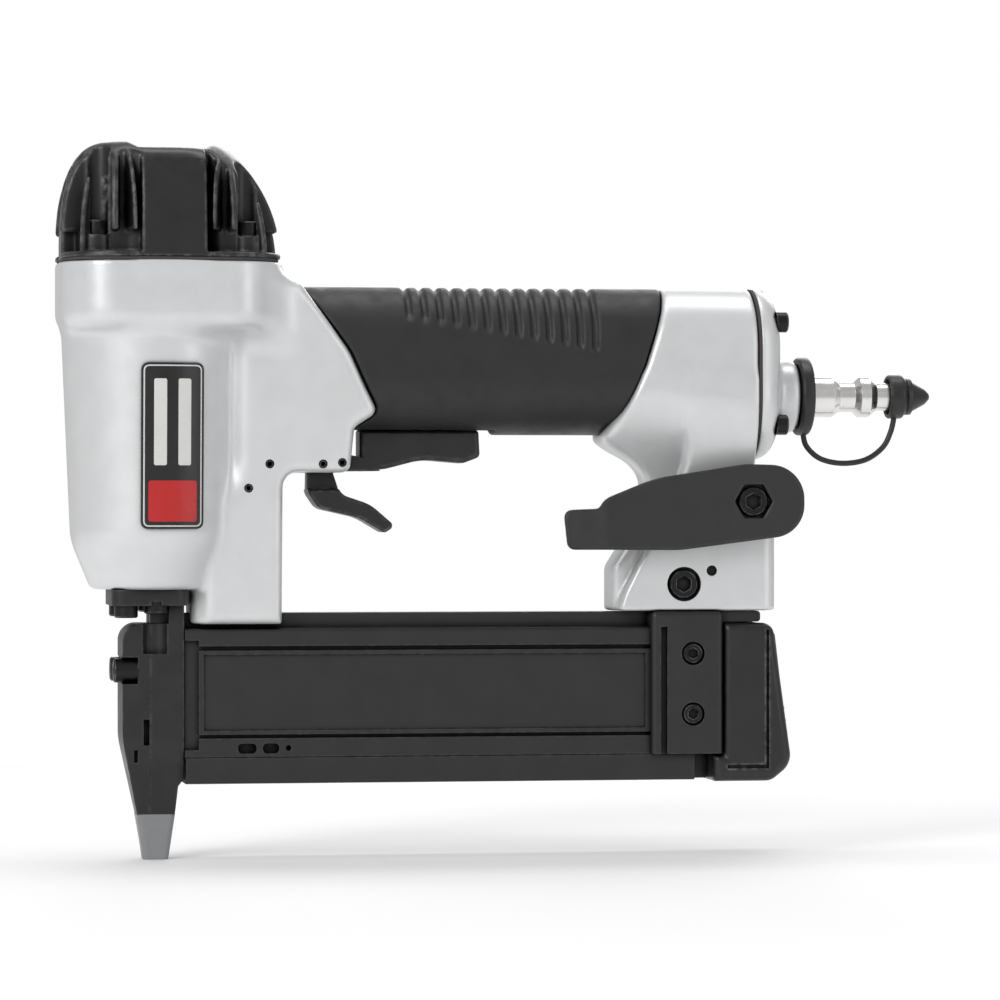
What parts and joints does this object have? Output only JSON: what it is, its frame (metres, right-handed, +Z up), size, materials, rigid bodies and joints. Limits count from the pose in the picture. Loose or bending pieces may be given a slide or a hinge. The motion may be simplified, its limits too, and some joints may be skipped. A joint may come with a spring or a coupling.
{
  "type": "pneumatic pin nailer",
  "caption": "Small pneumatic pin nailer with a finned head cap, rubber grip, levers, a straight sliding magazine, a swivelling belt hook and a quarter-inch air plug.",
  "frame": {"origin": "on the driver's axis, at the contact end of the nose", "axes": "+Z up the driver's axis to the head cap, +X back along the handle and magazine, -Y is the belt hook's side"},
  "size_m": [0.2514, 0.055, 0.202],
  "materials": {
    "cast_silver": "fine-textured silver paint over die-cast aluminium",
    "black_nylon": "glass-filled nylon, fine moulded texture",
    "soft_rubber": "soft matt rubber",
    "badge_black": "glossy printed plate",
    "black_oxide": "black oxide steel",
    "dark_steel": "phosphated tool steel, satin",
    "anodised_dark": "dark anodised aluminium, satin",
    "hook_paint": "charcoal powder coat",
    "tip_plastic": "grey urethane",
    "bright_steel": "zinc plated steel",
    "spring_steel": "drawn spring wire",
    "tool_steel": "ground steel",
    "bare_aluminium": "turned aluminium",
    "seal_rubber": "nitrile rubber",
    "bumper_rubber": "urethane",
    "gasket_fibre": "compressed fibre",
    "felt": "pressed felt",
    "cap_vinyl": "soft vinyl, satin"
  },
  "bodies": {
    "root": {"body_casting": "cast_silver", "name_badge": "badge_black", "grip_sleeve": "soft_rubber", "head_cap": "black_nylon", "cap_gasket": "gasket_fibre", "cap_screws": "black_oxide", "cylinder_sleeve": "bare_aluminium", "cylinder_oring": "seal_rubber", "bumper": "bumper_rubber", "nose_body": "dark_steel", "nose_front_plate": "dark_steel", "nose_plate_screws": "black_oxide", "nose_flange_screws": "black_oxide", "no_mar_tip": "tip_plastic", "trigger_valve_body": "black_nylon", "trigger_pin": "black_oxide", "safety_pin": "black_oxide", "guide_pins": "black_oxide", "safety_spring": "spring_steel", "valve_spring": "spring_steel", "head_valve_spring": "spring_steel", "magazine_track": "anodised_dark", "magazine_mount": "anodised_dark", "magazine_screws": "black_oxide", "bracket_screw": "black_oxide", "bracket_nut": "black_oxide", "bracket_dowel": "black_oxide", "end_cap": "cast_silver", "exhaust_muffler": "felt", "end_gasket": "gasket_fibre", "end_cap_screws": "black_oxide", "inlet_bushing": "bright_steel", "air_plug": "bright_steel", "cap_tether": "cap_vinyl", "hook_screw": "black_oxide"},
    "driver": {"piston": "bare_aluminium", "piston_oring": "seal_rubber", "driver_blade": "tool_steel"},
    "head_valve_body": {"head_valve": "black_nylon", "head_valve_oring": "seal_rubber"},
    "trigger_body": {"trigger": "black_nylon"},
    "valve_stem_body": {"valve_stem": "tool_steel"},
    "safety_lever_body": {"safety_lever": "black_nylon"},
    "drawer": {"magazine_drawer": "anodised_dark", "tail_cap": "black_nylon", "tail_screws": "black_oxide", "latch_pin": "tool_steel", "latch_spring": "spring_steel", "pusher_spring": "spring_steel"},
    "pusher_body": {"pusher": "tool_steel"},
    "latch_body": {"latch_lever": "black_nylon"},
    "hook_body": {"belt_hook": "hook_paint"},
    "dust_cap_body": {"dust_cap": "cap_vinyl"}
  },
  "joints": [
    {"name": "driver_stroke", "type": "slide", "parent": "root", "child": "driver", "axis": [0, 0, -1], "range_m": [0, 0.06]},
    {"name": "head_valve_lift", "type": "slide", "parent": "root", "child": "head_valve_body", "axis": [0, 0, 1], "range_m": [0, 0.004], "deforming": ["head_valve_spring"]},
    {"name": "trigger_pull", "type": "hinge", "parent": "root", "child": "trigger_body", "pos_m": [0.0522, 0, 0.1115], "axis": [0, -1, 0], "range_deg": [0, 8]},
    {"name": "valve_stem_lift", "type": "slide", "parent": "root", "child": "valve_stem_body", "axis": [0, 0, 1], "range_m": [0, 0.0022], "deforming": ["valve_spring"]},
    {"name": "safety_squeeze", "type": "hinge", "parent": "root", "child": "safety_lever_body", "pos_m": [0.0468, 0, 0.1111], "axis": [0, -1, 0], "range_deg": [0, 12], "deforming": ["safety_spring"]},
    {"name": "magazine_slide", "type": "slide", "parent": "root", "child": "drawer", "axis": [1, 0, 0], "range_m": [0, 0.11]},
    {"name": "pusher_travel", "type": "slide", "parent": "drawer", "child": "pusher_body", "axis": [1, 0, 0], "range_m": [0, 0.105], "deforming": ["pusher_spring"]},
    {"name": "latch_press", "type": "hinge", "parent": "drawer", "child": "latch_body", "pos_m": [0.1752, 0, 0.0606], "axis": [0, 1, 0], "range_deg": [0, 6], "deforming": ["latch_spring"]},
    {"name": "hook_turn", "type": "hinge", "parent": "root", "child": "hook_body", "pos_m": [0.1692, 0, 0.1006], "axis": [0, -1, 0], "range_deg": [-30, 120]},
    {"name": "dust_cap_swing", "type": "hinge", "parent": "root", "child": "dust_cap_body", "pos_m": [0.2094, 0, 0.1146], "axis": [0, 1, 0], "range_deg": [0, 100]}
  ],
  "couplings": [
    {"joint": "valve_stem_lift", "follows": "trigger_pull", "m_per_rad": 0.0155}
  ]
}
